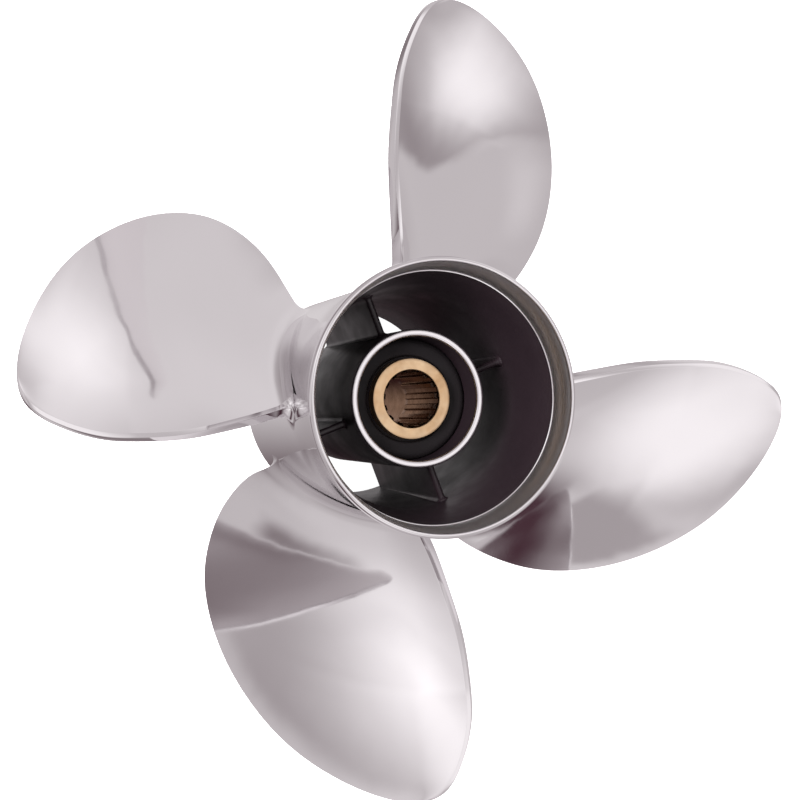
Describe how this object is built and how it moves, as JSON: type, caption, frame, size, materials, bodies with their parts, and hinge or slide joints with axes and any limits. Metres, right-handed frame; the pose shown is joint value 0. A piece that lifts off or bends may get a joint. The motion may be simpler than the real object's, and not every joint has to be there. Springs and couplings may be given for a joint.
{
  "type": "boat propeller",
  "caption": "Polished stainless outboard propeller: cupped, raked blades on a flared exhaust barrel, with ribs, inner hub, rubber bushing and splined brass sleeve that slips under overload.",
  "frame": {"origin": "on the shaft axis, at the plane of the barrel's forward end ring, on which the propeller stands", "axes": "+Z along the shaft axis, aft (towards the flared rim); +X and +Y through the blade reference lines of blade_1 and blade_2"},
  "size_m": [0.332, 0.332, 0.147],
  "materials": {
    "polished_steel": "mirror-polished stainless steel outside, black paint inside",
    "blade_steel": "mirror-polished stainless steel",
    "black_paint": "steel with satin black paint",
    "rubber": "dark moulded rubber",
    "brass": "turned and broached brass"
  },
  "bodies": {
    "drive_hub": {"spline_sleeve": "brass", "rubber_bushing": "rubber"},
    "wheel": {"outer_barrel": "polished_steel", "inner_hub": "black_paint", "rib_1": "black_paint", "rib_2": "black_paint", "rib_3": "black_paint", "rib_4": "black_paint", "blade_1": "blade_steel", "blade_2": "blade_steel", "blade_3": "blade_steel", "blade_4": "blade_steel"}
  },
  "joints": [
    {"name": "hub_slip", "type": "hinge", "parent": "drive_hub", "child": "wheel", "pos_m": [0, 0, 0.06], "axis": [0, 0, 1], "continuous": true}
  ]
}
